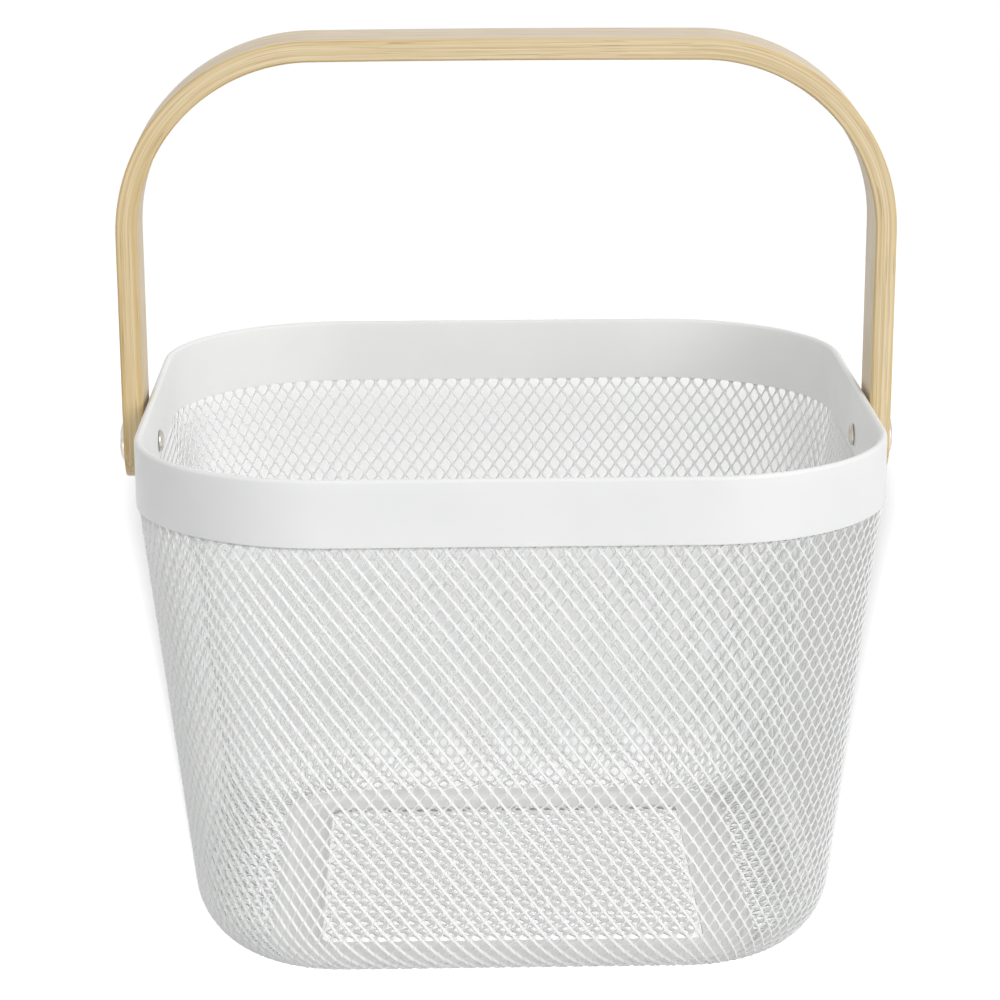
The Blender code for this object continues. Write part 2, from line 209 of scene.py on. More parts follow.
def latticeSheet(name, centres, frameOf, widthOf, tiltOf, base, thickness):
    # Openings of an expanded sheet. Each centre gets a diamond of boundary points, shared with its
    # neighbours, and a rounded contour inside it, |x/a|^n + |y/b|^n = 1. The skin between them stands
    # out at the contour by louvre times (x/a + climb y/b), so strands lie tilted like slats, and the
    # back skin is the front skin moved by the strand's thickness along the tilted normal.
    steps = weave["steps"]
    share = np.arange(steps) / steps
    edge = np.stack([0.5 * (1 - share), 0.5 * share], axis=-1)
    turned = [edge, edge[:, ::-1] * [-1, 1], -edge, edge[:, ::-1] * [1, -1]]
    diamond = np.concatenate(turned)
    count = len(diamond)
    keys = np.rint((centres[:, None, :] + diamond) * 2 * steps).astype(np.int64)
    shared, outer = np.unique(keys.reshape(-1, 2), axis=0, return_inverse=True)
    outer = outer.reshape(len(centres), count)
    border = shared / (2 * steps)

    a, b = widthOf(centres)
    n = weave["roundness"]
    reach = (np.abs(diamond[:, 0]) / a[:, None]) ** n + (np.abs(diamond[:, 1]) / b[:, None]) ** n
    inner = diamond[None] * (reach ** (-1 / n))[..., None]
    contour = (centres[:, None, :] + inner).reshape(-1, 2)

    places = np.concatenate([border, contour])
    point, across, outward, width = frameOf(places)
    tilt, louvre, climb = tiltOf(places, width)
    holeClimb = climb[len(border):].reshape(len(centres), count)
    lift = inner[..., 0] / a[:, None] + holeClimb * inner[..., 1] / b[:, None]
    lifts = np.concatenate([np.zeros(len(border)), lift.ravel()])
    front = point + outward * (base + louvre * lifts)[:, None]
    aside = unit(across + climb[:, None] * np.cross(outward, across))
    slat = outward * np.cos(tilt)[:, None] + aside * np.sin(tilt)[:, None]
    back = front - slat * thickness

    total = len(places)
    outerNext = np.roll(outer, -1, axis=1)
    hole = len(border) + np.arange(len(centres) * count).reshape(len(centres), count)
    holeNext = np.roll(hole, -1, axis=1)
    skin = np.stack([outer, outerNext, holeNext, hole], axis=-1).reshape(-1, 4)
    wall = np.stack([hole, holeNext, holeNext + total, hole + total], axis=-1).reshape(-1, 4)
    # the edge of the sheet is where a boundary edge belongs to one opening only
    first = outer.ravel()
    second = outerNext.ravel()
    pair = np.minimum(first, second) * total + np.maximum(first, second)
    inverse, uses = np.unique(pair, return_inverse=True, return_counts=True)[1:]
    single = uses[inverse] == 1
    first = first[single]
    second = second[single]
    rim = np.stack([second, first, first + total, second + total], axis=-1)
    quads = np.concatenate([skin, skin[:, ::-1] + total, wall, rim])
    return fillMesh(name, np.concatenate([front, back]), quads)


def smoothStep(value, low, high):
    # From 0 to 1 between two values, as 3 t^2 - 2 t^3.
    share = np.clip((value - low) / (high - low), 0, 1)
    return share * share * (3 - 2 * share)


def rowDistance(v):
    # Rows are counted up the wall from the first whole row under the band.
    return wallLength - weave["firstRow"] + v * weave["rowPitch"]


def wallPlace(places):
    return wallFrame(places[:, 0], rowDistance(places[:, 1]))


def wallWidths(centres):
    # Openings narrow with their column round the lower corners, and their strands narrow less.
    width = wallPlace(centres)[3]
    strand = weave["strandHalf"] * np.sqrt(width / columnWidth)
    tip = np.full(len(centres), weave["tipHalf"])
    return 0.5 - strand / width, 0.5 - tip / weave["rowPitch"]


def wallTilt(places, width):
    # Slats flatten where the band grips them and where they meet the foot strip, and how much they
    # climb follows the cosine of the angle from the front left corner.
    s = rowDistance(places[:, 1])
    fade = weave["bandFade"]
    flat = 1 - weave["bandFlat"] * smoothStep(s, wallLength - fade, wallLength + fade)
    rising = smoothStep(s, weave["footFrom"], weave["footTo"])
    flat *= 1 - weave["footFlat"] + weave["footFlat"] * rising
    heading = places[:, 0] / bucket["columns"] * 2 * math.pi
    climb = weave["climb"] + weave["climbSwing"] * np.cos(heading + math.pi / 4)
    return weave["tilt"] * flat, weave["louvre"] * flat * np.sqrt(width / columnWidth), climb


def wallCentres(quarter):
    # Whole rows hold openings at half columns, and the rows between them at whole columns.
    span = bucket["columns"] // 4
    start = quarter * span - (span - 1) / 2 - 0.5
    whole = np.arange(weave["rows"])
    u, v = np.meshgrid(start + np.arange(span), -whole.astype(float), indexing="ij")
    shiftedU, shiftedV = np.meshgrid(start + 0.5 + np.arange(span), 0.5 - whole, indexing="ij")
    return np.stack([np.append(u, shiftedU), np.append(v, shiftedV)], axis=-1)


# Foot strip: plain sheet between the mesh floor and the mesh wall, pressed down to stand on

foot = {
    "innerHalfX": 66.2,       # its inner bend, beside the mesh floor
    "innerHalfY": 65.9,
    "innerRadius": 4.5,
    "leastRadius": 3.0,
    "width": 14.3,
    "slope": 1.5,             # width of the step down at each side
    "sheet": 0.6,
    "under": 0.45,            # its middle lies this far under the mesh
    "flange": 0.1,            # how far it runs on towards the mesh floor
    "wallFlange": 2.0,        # and under the mesh wall
    "bend": 0.9,              # radius of its four bends
    "bendSteps": 3,
    "stepsRound": 48,         # points round a quarter of the ring
}


def roundedLine(points, radius, steps):
    # A polyline whose inner corners become short arcs, as quadratic curves between the cut-back ends.
    points = np.asarray(points, dtype=float)
    line = [points[0]]
    for before, corner, after in zip(points, points[1:], points[2:]):
        start = corner + unit(before - corner) * min(radius, np.linalg.norm(before - corner) / 2)
        end = corner + unit(after - corner) * min(radius, np.linalg.norm(after - corner) / 2)
        for share in np.linspace(0, 1, steps + 1):
            line.append((1 - share) ** 2 * start + 2 * share * (1 - share) * corner + share**2 * end)
    line.append(points[-1])
    return np.array(line)


def ringPlaces(steps):
    # Column counts round the ring, dense in the corners and sparser along the sides.
    side = np.linspace(0, sideColumns, steps // 2, endpoint=False)
    corner = sideColumns + np.linspace(0, cornerColumns, steps - steps // 2, endpoint=False)
    quarter = np.concatenate([side, corner]) - sideColumns / 2
    return np.concatenate([quarter + turn * bucket["columns"] / 4 for turn in range(4)])


def shellFromRings(name, middle, thickness):
    # A closed sheet from rings of points on its middle surface: each point moves half the thickness
    # along the normal, which is the cross product of the steps along the ring and between rings.
    along = np.roll(middle, -1, axis=1) - np.roll(middle, 1, axis=1)
    between = np.gradient(middle, axis=0)
    normal = unit(np.cross(along, between))
    outer = middle + normal * thickness / 2
    inner = middle - normal * thickness / 2
    rows, columns = middle.shape[:2]
    loop = np.concatenate([outer, inner[::-1], outer[:1]])
    quads = gridQuads(len(loop), columns)
    count = 2 * rows * columns
    return fillMesh(name, loop[:-1].reshape(-1, 3), quads % count)


def footRings():
    # Profile points are (half X, half Y, corner radius, height) of rings on the strip's middle.
    low = foot["sheet"] / 2
    high = bucket["floorHeight"] - foot["under"]
    profile = []
    for outward, height in (
        (-foot["flange"], high),
        (0.0, high),
        (foot["slope"], low),
        (foot["width"] - foot["slope"], low),
        (foot["width"], high),
    ):
        radius = max(foot["innerRadius"] + outward, foot["leastRadius"])
        profile.append((foot["innerHalfX"] + outward, foot["innerHalfY"] + outward, radius, height))
    for distance in (0.0, foot["wallFlange"] / 2, foot["wallFlange"]):
        halfX, halfY, radius, height = wallSection(np.array(distance))
        profile.append((halfX, halfY, radius, height - foot["under"]))
    line = roundedLine(profile, foot["bend"], foot["bendSteps"])
    u = ringPlaces(foot["stepsRound"])
    return np.array([ringPoint(u, *section) for section in line])


# Mesh floor inside the foot strip

floorWeave = {
    "columns": 24,
    "rows": 18,
    "margin": 1.0,            # from the sheet's edge to the strip's inner bend
    "cornerRadius": 4.0,
    "height": 2.62,           # of the slats' underside
    "thickness": 0.35,
    "louvre": 0.25,
    "tilt": math.radians(18),
    "strandHalf": 1.02,
    "tipHalf": 1.40,
}
floorPitchX = 2 * (foot["innerHalfX"] - floorWeave["margin"]) / floorWeave["columns"]
floorPitchY = 2 * (foot["innerHalfY"] - floorWeave["margin"]) / floorWeave["rows"]


def floorPlace(places):
    # Columns along X and rows towards the front, seen from below.
    height = np.full(len(places), floorWeave["height"])
    point = np.stack([places[:, 0] * floorPitchX, -places[:, 1] * floorPitchY, height], axis=-1)
    across = np.broadcast_to([1.0, 0.0, 0.0], point.shape)
    outward = np.broadcast_to([0.0, 0.0, -1.0], point.shape)
    return point, across, outward, np.full(len(places), floorPitchX)


def floorWidths(centres):
    # Half an opening's width and height as shares of the pitch, the same all over.
    ones = np.ones(len(centres))
    return (
        (0.5 - floorWeave["strandHalf"] / floorPitchX) * ones,
        (0.5 - floorWeave["tipHalf"] / floorPitchY) * ones,
    )


def floorTilt(places, width):
    # Slats lie alike all over the floor and don't climb.
    ones = np.ones(len(places))
    return floorWeave["tilt"] * ones, floorWeave["louvre"] * ones, 0 * ones


def floorCentres():
    # Every opening whose whole diamond lies inside the sheet's rectangle, and inside its round corners.
    halfColumns = floorWeave["columns"] / 2
    halfRows = floorWeave["rows"] / 2
    rounding = floorWeave["cornerRadius"]
    tiny = 1e-6
    u = np.arange(-halfColumns, halfColumns + 0.5, 0.5)
    v = np.arange(-halfRows, halfRows + 0.5, 0.5)
    u, v = [grid.ravel() for grid in np.meshgrid(u, v, indexing="ij")]
    staggered = np.rint(2 * (u + v - halfColumns - halfRows)) % 2 == 1
    inside = (np.abs(u) + 0.5 <= halfColumns + tiny) & (np.abs(v) + 0.5 <= halfRows + tiny)
    cornerX = np.abs(u) * floorPitchX + floorPitchX / 4 - (halfColumns * floorPitchX - rounding)
    cornerY = np.abs(v) * floorPitchY + floorPitchY / 4 - (halfRows * floorPitchY - rounding)
    far = np.hypot(np.maximum(cornerX, 0), np.maximum(cornerY, 0)) > rounding
    return np.stack([u, v], axis=-1)[staggered & inside & ~far]


# Rim band: one strip of sheet folded over the mesh

band = {
    "sheet": 0.6,
    "total": 2.6,
    "innerDrop": 1.1,         # how much lower the inner wall ends than the outer one
    "wallSteps": 6,
    "lipSteps": 14,
    "stepsRound": 72,
}


def bandRings():
    # Middle of the sheet: up the outer wall, half a circle over the lip, down the inner wall.
    outer = band["sheet"] / 2
    inner = band["total"] - band["sheet"] / 2
    lip = (inner - outer) / 2
    lipHeight = bandTop - band["sheet"] / 2 - lip
    angle = np.linspace(0, math.pi, band["lipSteps"] + 1)
    inset = outer + lip * (1 - np.cos(angle))
    height = lipHeight + lip * np.sin(angle)
    steps = band["wallSteps"]
    wall = np.linspace(bandBottom, lipHeight, steps + 1)[:-1]
    innerWall = np.linspace(bandBottom - band["innerDrop"], lipHeight, steps + 1)[:-1]
    inset = np.concatenate([np.full(steps, outer), inset, np.full(steps, inner)])
    height = np.concatenate([wall, height, innerWall[::-1]])
    u = ringPlaces(band["stepsRound"])
    return np.array(
        [ringPoint(u, rimHalf - i, rimHalf - i, bucket["rimRadius"] - i, h) for i, h in zip(inset, height)]
    )


# Handle: a laminated bamboo strip bent to an arch

handle = {
    "centreHalf": 130.05,     # middle of the strip's thickness, from the basket's middle
    "top": 307.8,             # with the handle upright
    "thickness": 7.3,
    "width": 24.6,
    "innerRadius": 60.0,
    "crown": 1.0,             # how far the arch drops from its middle to its sides
    "crownFade": 4,           # power with which that grows up the legs
    "rounding": 0.9,          # of the strip's four long edges
    "lean": math.radians(2.6),
    "endSteps": 14,           # points along the path
    "legSteps": 26,
    "bendSteps": 40,
    "topSteps": 22,
    "cornerPoints": 6,        # points round the section
    "facePoints": 9,
    "edgePoints": 3,
}


def handlePath():
    # Half the strip's centre line from its lower end to the middle of the top, with the half width and
    # half thickness there: a rounded end, a leg, a quarter circle and a straight. Its height then drops
    # by the crown times the square of x, faded in up the leg.
    radius = handle["innerRadius"] + handle["thickness"] / 2
    top = handle["top"] - handle["thickness"] / 2
    half = handle["width"] / 2
    bendX = handle["centreHalf"] - radius
    bendZ = top - radius
    tip = pivotHeight - half
    angle = np.linspace(0, math.pi / 2, handle["endSteps"] + 1)
    drop = half * (1 - np.cos(angle))
    edge = np.clip(1 - drop / handle["rounding"], 0, 1)
    thin = handle["rounding"] * (1 - np.sqrt(1 - edge**2))
    legZ = np.linspace(pivotHeight, bendZ, handle["legSteps"] + 1)[1:]
    turn = np.linspace(0, math.pi / 2, handle["bendSteps"] + 1)[1:]
    acrossTop = np.linspace(bendX, 0, handle["topSteps"] + 1)[1:]
    x = np.concatenate([
        np.full(len(angle) + len(legZ), handle["centreHalf"]),
        bendX + radius * np.cos(turn),
        acrossTop,
    ])
    z = np.concatenate([tip + drop, legZ, bendZ + radius * np.sin(turn), np.full(len(acrossTop), top)])
    normal = np.concatenate([np.zeros(len(angle) + len(legZ)), turn, np.full(len(acrossTop), math.pi / 2)])
    rest = len(x) - len(angle)
    halfWidth = np.concatenate([half * np.sin(angle), np.full(rest, half)])
    halfThick = np.concatenate([handle["thickness"] / 2 - thin, np.full(rest, handle["thickness"] / 2)])
    length = np.concatenate([[0], np.cumsum(np.hypot(np.diff(x), np.diff(z)))])
    lift = np.clip(z - pivotHeight, 0, None) / (top - pivotHeight)
    z = z - handle["crown"] * (x / handle["centreHalf"]) ** 2 * lift ** handle["crownFade"]
    return x, z, normal, halfWidth, halfThick, length - length[-1]


def sectionLoop():
    # Rounded rectangle as corner signs and arc directions, so that it keeps its count at any size.
    # The long faces get extra points between the corners.
    corners = ((1, 1), (-1, 1), (-1, -1), (1, -1))
    arc = np.linspace(0, math.pi / 2, handle["cornerPoints"])
    signs = []
    arcs = []
    for corner, (signY, signN) in enumerate(corners):
        for angle in arc + corner * math.pi / 2:
            signs.append((signY, signN))
            arcs.append((math.cos(angle), math.sin(angle)))
        nextY, nextN = corners[(corner + 1) % 4]
        count = handle["facePoints"] if corner % 2 == 0 else handle["edgePoints"]
        end = (corner + 1) * math.pi / 2
        for share in np.linspace(0, 1, count + 2)[1:-1]:
            signs.append((signY + (nextY - signY) * share, signN + (nextN - signN) * share))
            arcs.append((math.cos(end), math.sin(end)))
    return np.array(signs), np.array(arcs)


def bothHalves(left, right):
    # From the left end to the middle, and on to the right end.
    return np.concatenate([left, right[-2::-1]])


def handleMesh():
    # The section is carried along the path: its depth goes along the path's normal, its width along Y.
    x, z, normal, halfWidth, halfThick, along = handlePath()
    x = bothHalves(-x, x)
    z = bothHalves(z, z)
    normal = bothHalves(math.pi - normal, normal)
    halfWidth = bothHalves(halfWidth, halfWidth)
    halfThick = bothHalves(halfThick, halfThick)
    along = bothHalves(along, -along)
    signs, arcs = sectionLoop()
    corner = np.minimum(handle["rounding"], halfWidth)[:, None]
    y = signs[:, 0] * (halfWidth[:, None] - corner) + arcs[:, 0] * corner
    cornerN = np.minimum(handle["rounding"], halfThick)[:, None]
    depth = signs[:, 1] * (halfThick[:, None] - cornerN) + arcs[:, 1] * cornerN
    px = x[:, None] + depth * np.cos(normal)[:, None]
    pz = z[:, None] + depth * np.sin(normal)[:, None]
    # the whole handle leans forward about the rivets
    sine = math.sin(handle["lean"])
    cosine = math.cos(handle["lean"])
    leanY = y * cosine - (pz - pivotHeight) * sine
    leanZ = pivotHeight + y * sine + (pz - pivotHeight) * cosine
    points = np.stack([px, leanY, leanZ], axis=-1)
    rows, columns = y.shape
    quads = gridQuads(rows, columns)[:, ::-1]
    mesh = fillMesh("bambooHandle", points.reshape(-1, 3), quads)
    # how a point lies in the flat strip, for the grain: along it, across it, through it
    strip = np.stack([np.broadcast_to(along[:, None], y.shape), y, depth], axis=-1)
    attribute = mesh.attributes.new("strip", "FLOAT_VECTOR", "POINT")
    attribute.data.foreach_set("vector", (strip * mm).astype(np.float32).ravel())
    return mesh


# Turned pieces: rivets and washers

rivet = {
    "headRadius": 7.0,
    "headHeight": 2.0,
    "headRim": 0.5,           # height of the head's edge under its dome
    "bevel": 0.1,
    "shankRadius": 2.2,
    "tailRadius": 3.9,
    "tailHeight": 1.4,
    "dimpleRadius": 1.2,
    "dimpleDepth": 0.5,
    "dimpleSide": (0.6, 0.15),  # share of its radius, and how much shallower it is there
    "dimpleMiddle": 0.2,
    "domeFrom": 0.02,         # share of the head's arc at which its rings begin, beside the pole
    "domeSteps": 12,
    "tailFrom": 0.05,
    "tailSteps": 9,
    "steps": 56,
}


def turnProfile(profile, side, steps):
    # A half outline of (distance from the axis, place along X) turned about the rivet's axis.
    profile = np.asarray(profile, dtype=float)
    angle = np.linspace(0, 2 * math.pi, steps, endpoint=False)
    radius = profile[:, :1]
    y = radius * np.cos(angle)
    z = pivotHeight + radius * np.sin(angle)
    x = np.broadcast_to(side * profile[:, 1:], y.shape)
    points = np.stack([x, y, z], axis=-1).reshape(-1, 3)
    quads = gridQuads(len(profile), steps)
    if side > 0:
        quads = quads[:, ::-1]
    return points, quads


def rivetMesh(name, side):
    # Head: a low dome on a thin rim. Shank. Tail: a small rounded button with a dimple.
    headRadius = rivet["headRadius"]
    tailRadius = rivet["tailRadius"]
    dimpleRadius = rivet["dimpleRadius"]
    headBase = headHigh[0] - rivet["headHeight"]
    tailBase = headLow[0] + rivet["tailHeight"]
    bevel = rivet["bevel"]
    dome = np.linspace(rivet["domeFrom"], 1, rivet["domeSteps"]) * math.pi / 2
    head = np.stack([
        headRadius * np.sin(dome),
        headBase + rivet["headRim"] + (rivet["headHeight"] - rivet["headRim"]) * np.cos(dome),
    ], axis=-1)
    rim = [(headRadius, headBase + bevel), (headRadius - bevel, headBase)]
    shank = [(rivet["shankRadius"], headBase), (rivet["shankRadius"], tailBase)]
    tailEdge = [(tailRadius - bevel, tailBase)]
    swell = np.linspace(rivet["tailFrom"], 1, rivet["tailSteps"]) * math.pi / 2
    tail = np.stack([
        dimpleRadius + (tailRadius - dimpleRadius) * np.cos(swell),
        tailBase - rivet["tailHeight"] * np.sin(swell),
    ], axis=-1)
    dimpleX = tailBase - rivet["tailHeight"] + rivet["dimpleDepth"]
    sideShare, sideRise = rivet["dimpleSide"]
    dimple = [
        (dimpleRadius * sideShare, dimpleX - sideRise),
        (dimpleRadius * rivet["dimpleMiddle"], dimpleX),
    ]
    profile = np.concatenate([head, rim, shank, tailEdge, tail, dimple])
    points, quads = turnProfile(profile, side, rivet["steps"])
    # a fan of triangles closes the head's middle and the dimple's
    centres = [[side * headHigh[0], 0, pivotHeight], [side * dimpleX, 0, pivotHeight]]
    count = len(points)
    ring = np.arange(rivet["steps"])
    after = np.roll(ring, -1)
    first = np.stack([np.full_like(ring, count), after, ring], axis=-1)
    last = count - rivet["steps"] + np.stack([ring, after, ring], axis=-1)
    last[:, 2] = count + 1
    caps = np.concatenate([first, last])
    if side > 0:
        caps = caps[:, ::-1]
    return fillMesh(name, np.concatenate([points, centres]), quads, caps)


washer = {
    "play": 0.3,              # gap to the rivet's shank
    "edge": 0.2,              # rounding of its outer edges
    "edgeMiddle": 0.06,       # how far the middle of that rounding lies in from the corner
    "steps": 48,
}


def washerMesh(name, side):
    # A flat ring with rounded outer edges, as a closed profile.
    inner = rivet["shankRadius"] + washer["play"]
    outer = washerHigh[2] - pivotHeight
    near = washerLow[0]
    far = washerHigh[0]
    edge = washer["edge"]
    middle = washer["edgeMiddle"]
    profile = [
        (inner, near),
        (inner, far),
        (outer - edge, far),
        (outer - middle, far - middle),
        (outer, far - edge),
        (outer, near + edge),
        (outer - middle, near + middle),
        (outer - edge, near),
        (inner, near),
    ]
    points, quads = turnProfile(profile, side, washer["steps"])
    count = len(points) - washer["steps"]
    return fillMesh(name, points[:count], quads[:, ::-1] % count)


# Materials

def newMaterial(name):
    material = bpy.data.materials.new(name)
    material.use_nodes = True
    tree = material.node_tree
    shader = tree.nodes["Principled BSDF"]
    return material, tree, shader


def addNode(tree, kind, inputs=None, **settings):
    # A node with its settings, and its inputs set to values or linked from other nodes' sockets.
    node = tree.nodes.new(kind)
    for name, value in settings.items():
        setattr(node, name, value)
    for name, value in (inputs or {}).items():
        if isinstance(value, bpy.types.NodeSocket):
            tree.links.new(value, node.inputs[name])
        else:
            node.inputs[name].default_value = value
    return node


def mathNode(tree, operation, first, second=0.0):
    return addNode(tree, "ShaderNodeMath", {0: first, 1: second}, operation=operation).outputs[0]


def noiseNode(tree, vector, scale, detail, roughness=0.5):
    inputs = {"Vector": vector, "Scale": scale, "Detail": detail, "Roughness": roughness}
    return addNode(tree, "ShaderNodeTexNoise", inputs).outputs[0]


def stretched(tree, vector, factors):
    inputs = {0: vector, 1: factors}
    return addNode(tree, "ShaderNodeVectorMath", inputs, operation="MULTIPLY").outputs[0]


def objectPlace(tree):
    return addNode(tree, "ShaderNodeTexCoord").outputs["Object"]


def mixColour(tree, factor, first, second, blend="MIX"):
    node = addNode(tree, "ShaderNodeMix", {"Factor": factor}, data_type="RGBA", blend_type=blend)
    for socket, value in ((node.inputs[6], first), (node.inputs[7], second)):
        if isinstance(value, bpy.types.NodeSocket):
            tree.links.new(value, socket)
        else:
            socket.default_value = value
    return node.outputs[2]


def spread(tree, value, low, high, toLow=0.0, toHigh=1.0, kind="SMOOTHSTEP"):
    # One range of values spread over another, and held at its ends.
    inputs = {"Value": value, "From Min": low, "From Max": high, "To Min": toLow, "To Max": toHigh}
    return addNode(tree, "ShaderNodeMapRange", inputs, interpolation_type=kind).outputs["Result"]


def colour(red, green, blue):
    # Display values from 0 to 255, turned into the linear colour that nodes take.
    values = [channel / 255 for channel in (red, green, blue)]
    linear = [v / 12.92 if v <= 0.04045 else ((v + 0.055) / 1.055) ** 2.4 for v in values]
    return (*linear, 1.0)


def newGroup(name, inputs, outputs):
    # A node group with named sockets, and the sockets inside it to link from and to. An input without
    # a value is a vector. The output named Colour is a colour, and the others are numbers.
    group = bpy.data.node_groups.new(name, "ShaderNodeTree")
    kinds = {type(None): "NodeSocketVector", tuple: "NodeSocketColor", float: "NodeSocketFloat"}
    for title, value in inputs.items():
        socket = group.interface.new_socket(name=title, in_out="INPUT", socket_type=kinds[type(value)])
        if value is not None:
            socket.default_value = value
    for title in outputs:
        kind = kinds[tuple if title == "Colour" else float]
        group.interface.new_socket(name=title, in_out="OUTPUT", socket_type=kind)
    source = group.nodes.new("NodeGroupInput")
    result = group.nodes.new("NodeGroupOutput")
    return group, source.outputs, result.inputs


coat = {
    "cloudSize": 28.0,
    "cloudTone": (0.93, 0.935, 0.94, 1.0),  # multiplies the paint where a cloud is full
    "cloudMask": (0.35, 0.7),
    "glossMask": (0.3, 0.7),
    "glossChange": (-0.04, 0.05),           # how the clouds change the roughness
    "bump": (0.35, 0.00006),                # strength, and height in metres
}


def powderCoatGroup():
    # Baked powder coat: a fine orange peel and faint clouds of tone.
    paintTone = (0.86, 0.86, 0.85, 1.0)
    inputs = {"Vector": None, "Paint": paintTone, "Clouds": 0.4, "Peel Size": 700.0, "Roughness": 0.4}
    group, given, result = newGroup("powderCoat", inputs, ("Colour", "Roughness", "Height"))
    peel = noiseNode(group, given["Vector"], given["Peel Size"], 2.0)
    clouds = noiseNode(group, given["Vector"], coat["cloudSize"], 3.0)
    dark = mixColour(group, 1.0, given["Paint"], coat["cloudTone"], "MULTIPLY")
    amount = mathNode(group, "MULTIPLY", spread(group, clouds, *coat["cloudMask"]), given["Clouds"])
    change = spread(group, clouds, *coat["glossMask"], *coat["glossChange"])
    group.links.new(mixColour(group, amount, given["Paint"], dark), result["Colour"])
    group.links.new(mathNode(group, "ADD", given["Roughness"], change), result["Roughness"])
    group.links.new(peel, result["Height"])
    return group


fibres = {
    "stripes": (0.35, 0.2, 0.2),  # the fibres' noise made longer and wider
    "flecks": (3.0, 1.9, 1.9),    # and shorter and finer
    "fleckEdge": 0.05,
}
smudges = (0.42, 0.66)            # noise values between which a smudge comes in


def grainGroup():
    # Long fibres: noise drawn out along one axis, at two widths, and short dark flecks.
    inputs = {"Vector": None, "Along": 14.0, "Across": 1500.0, "Flecks": 0.66}
    group, given, result = newGroup("woodFibre", inputs, ("Fibre", "Stripe", "Fleck"))
    fineInputs = {0: given["Along"], 1: given["Across"], 2: given["Across"]}
    fine = addNode(group, "ShaderNodeCombineXYZ", fineInputs).outputs[0]
    drawn = stretched(group, given["Vector"], fine)
    stripe = noiseNode(group, stretched(group, drawn, fibres["stripes"]), 1.0, 2.0)
    fleck = noiseNode(group, stretched(group, drawn, fibres["flecks"]), 1.0, 0.0)
    above = mathNode(group, "SUBTRACT", fleck, given["Flecks"])
    group.links.new(noiseNode(group, drawn, 1.0, 3.0, 0.6), result["Fibre"])
    group.links.new(stripe, result["Stripe"])
    group.links.new(spread(group, above, 0.0, fibres["fleckEdge"]), result["Fleck"])
    return group


def handlingGroup():
    # Smudges left by hands and wiping: broad soft patches that change how shiny a surface is.
    inputs = {"Vector": None, "Size": 45.0, "Amount": 0.08}
    group, given, result = newGroup("handlingMarks", inputs, ("Mask", "Roughness Change"))
    mask = spread(group, noiseNode(group, given["Vector"], given["Size"], 4.0), *smudges)
    group.links.new(mask, result["Mask"])
    group.links.new(mathNode(group, "MULTIPLY", mask, given["Amount"]), result["Roughness Change"])
    return group


def bump(tree, shader, height, strength, distance):
    inputs = {"Strength": strength, "Distance": distance, "Height": height}
    tree.links.new(addNode(tree, "ShaderNodeBump", inputs).outputs["Normal"], shader.inputs["Normal"])


paint = {
    "band": {"Paint": colour(240, 241, 240), "Clouds": 0.35, "Peel Size": 620.0, "Roughness": 0.46},
    "mesh": {"Paint": colour(240, 241, 240), "Clouds": 0.30, "Peel Size": 900.0, "Roughness": 0.55},
    "foot": {"Paint": colour(238, 238, 237), "Clouds": 0.50, "Peel Size": 620.0, "Roughness": 0.42},
}


def paintMaterial(name, look, coatGroup):
    # Powder coat with one part's own tone, clouds and peel.
    material, tree, shader = newMaterial(name)
    inputs = {"Vector": objectPlace(tree), **look}
    layer = addNode(tree, "ShaderNodeGroup", inputs, node_tree=coatGroup).outputs
    tree.links.new(layer["Colour"], shader.inputs["Base Color"])
    tree.links.new(layer["Roughness"], shader.inputs["Roughness"])
    bump(tree, shader, layer["Height"], *coat["bump"])
    return material


def addMarks(tree, shader, marksGroup, roughness, values):
    # Smudges change the roughness of a surface, and their mask is given back for its colour.
    inputs = {"Vector": objectPlace(tree), **values}
    marks = addNode(tree, "ShaderNodeGroup", inputs, node_tree=marksGroup).outputs
    changed = mathNode(tree, "ADD", marks["Roughness Change"], roughness)
    tree.links.new(changed, shader.inputs["Roughness"])
    return marks["Mask"]


bamboo = {
    "core": colour(233, 215, 178),
    "coreDark": colour(210, 186, 140),
    "ply": colour(210, 180, 116),
    "face": colour(221, 205, 178),
    "faceDark": colour(207, 187, 154),
    "leftShade": (0.94, 0.90, 0.82, 1.0),  # painted shade: multiplies the left bend and leg, which are darker
    "leftShadeFade": (-0.09, -0.20),       # places along the strip between which that comes in
    "fleck": colour(140, 100, 56),
    "fleckAmount": 0.40,
    "grain": {"Along": 14.0, "Across": 1500.0, "Flecks": 0.68},
    "fibreMask": (0.32, 0.68),
    "stripeMask": (0.3, 0.7),
    "plyFibre": 0.5,                  # how much the fibres show in the outer plies
    "faceFibre": 0.6,                 # and in the wide faces
    "plyDepth": (0.00265, 0.00300),   # distances from the strip's middle, in metres
    "faceDepth": (0.00350, 0.00362),
    "roughness": 0.42,
    "bump": (0.25, 0.00008),
}


